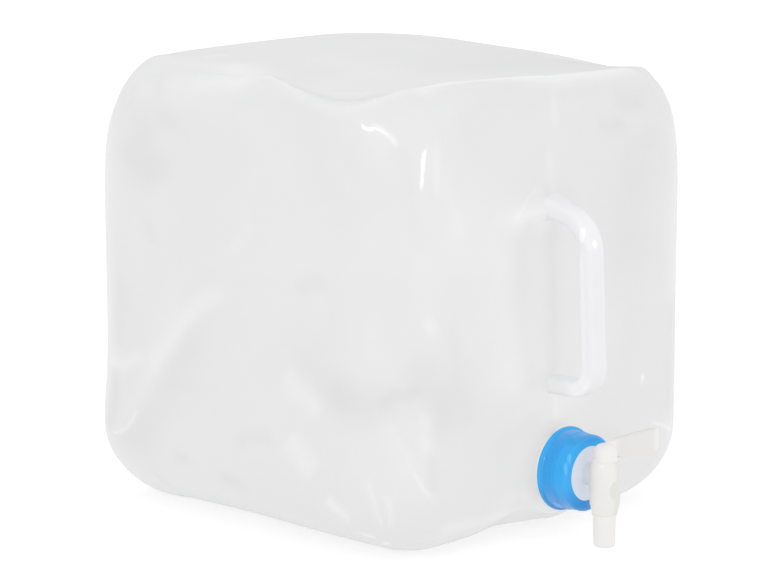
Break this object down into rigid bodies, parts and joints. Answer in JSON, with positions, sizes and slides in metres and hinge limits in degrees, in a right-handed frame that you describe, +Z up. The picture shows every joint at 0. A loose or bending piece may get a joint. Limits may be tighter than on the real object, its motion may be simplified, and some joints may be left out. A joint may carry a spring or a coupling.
{
  "type": "collapsible water carrier with tap",
  "caption": "Milky plastic cube water carrier that folds flat, with a moulded side grip and a lever tap held by a screwed ring cap.",
  "frame": {"origin": "centre of the carrier's flat base, on the surface that it stands on", "axes": "+Z up; -Y out of the front face, which carries the grip and the tap; +X to the right when looking at the front face, the way the closed lever points"},
  "size_m": [0.2698, 0.3129, 0.27],
  "materials": {
    "milky_polyethylene": "soft satin, see-through",
    "grip_white": "satin",
    "neck_white": "satin",
    "cap_blue": "gloss",
    "tap_white": "satin",
    "lever_white": "satin",
    "seal_grey": "matt",
    "ring_black": "matt"
  },
  "bodies": {
    "container": {"front_wall": "milky_polyethylene", "side_walls": "milky_polyethylene", "carry_handle": "grip_white", "threaded_neck": "neck_white"},
    "back": {"back_wall": "milky_polyethylene"},
    "seal": {"flange_gasket": "seal_grey"},
    "cap": {"cap_ring": "cap_blue"},
    "tap": {"tap_body": "tap_white"},
    "key": {"tap_plug": "lever_white", "upper_o_ring": "ring_black", "lower_o_ring": "ring_black"}
  },
  "joints": [
    {"name": "collapse", "type": "slide", "parent": "container", "child": "back", "axis": [0, -1, 0], "range_m": [0, 0.21], "deforming": ["side_walls"]},
    {"name": "cap_travel", "type": "slide", "parent": "container", "child": "seal", "axis": [0, -1, 0], "range_m": [0, 0.008]},
    {"name": "cap_unscrew", "type": "hinge", "parent": "seal", "child": "cap", "pos_m": [0, -0.134, 0.041], "axis": [0, -1, 0], "range_deg": [0, 720]},
    {"name": "tap_swivel", "type": "hinge", "parent": "seal", "child": "tap", "pos_m": [0, -0.134, 0.041], "axis": [0, -1, 0], "range_deg": [-90, 90]},
    {"name": "lever_turn", "type": "hinge", "parent": "tap", "child": "key", "pos_m": [0, -0.1697, 0.0355], "axis": [0, 0, -1], "range_deg": [0, 90]}
  ],
  "couplings": [
    {"joint": "cap_travel", "follows": "cap_unscrew", "m_per_rad": 0.0006366}
  ]
}
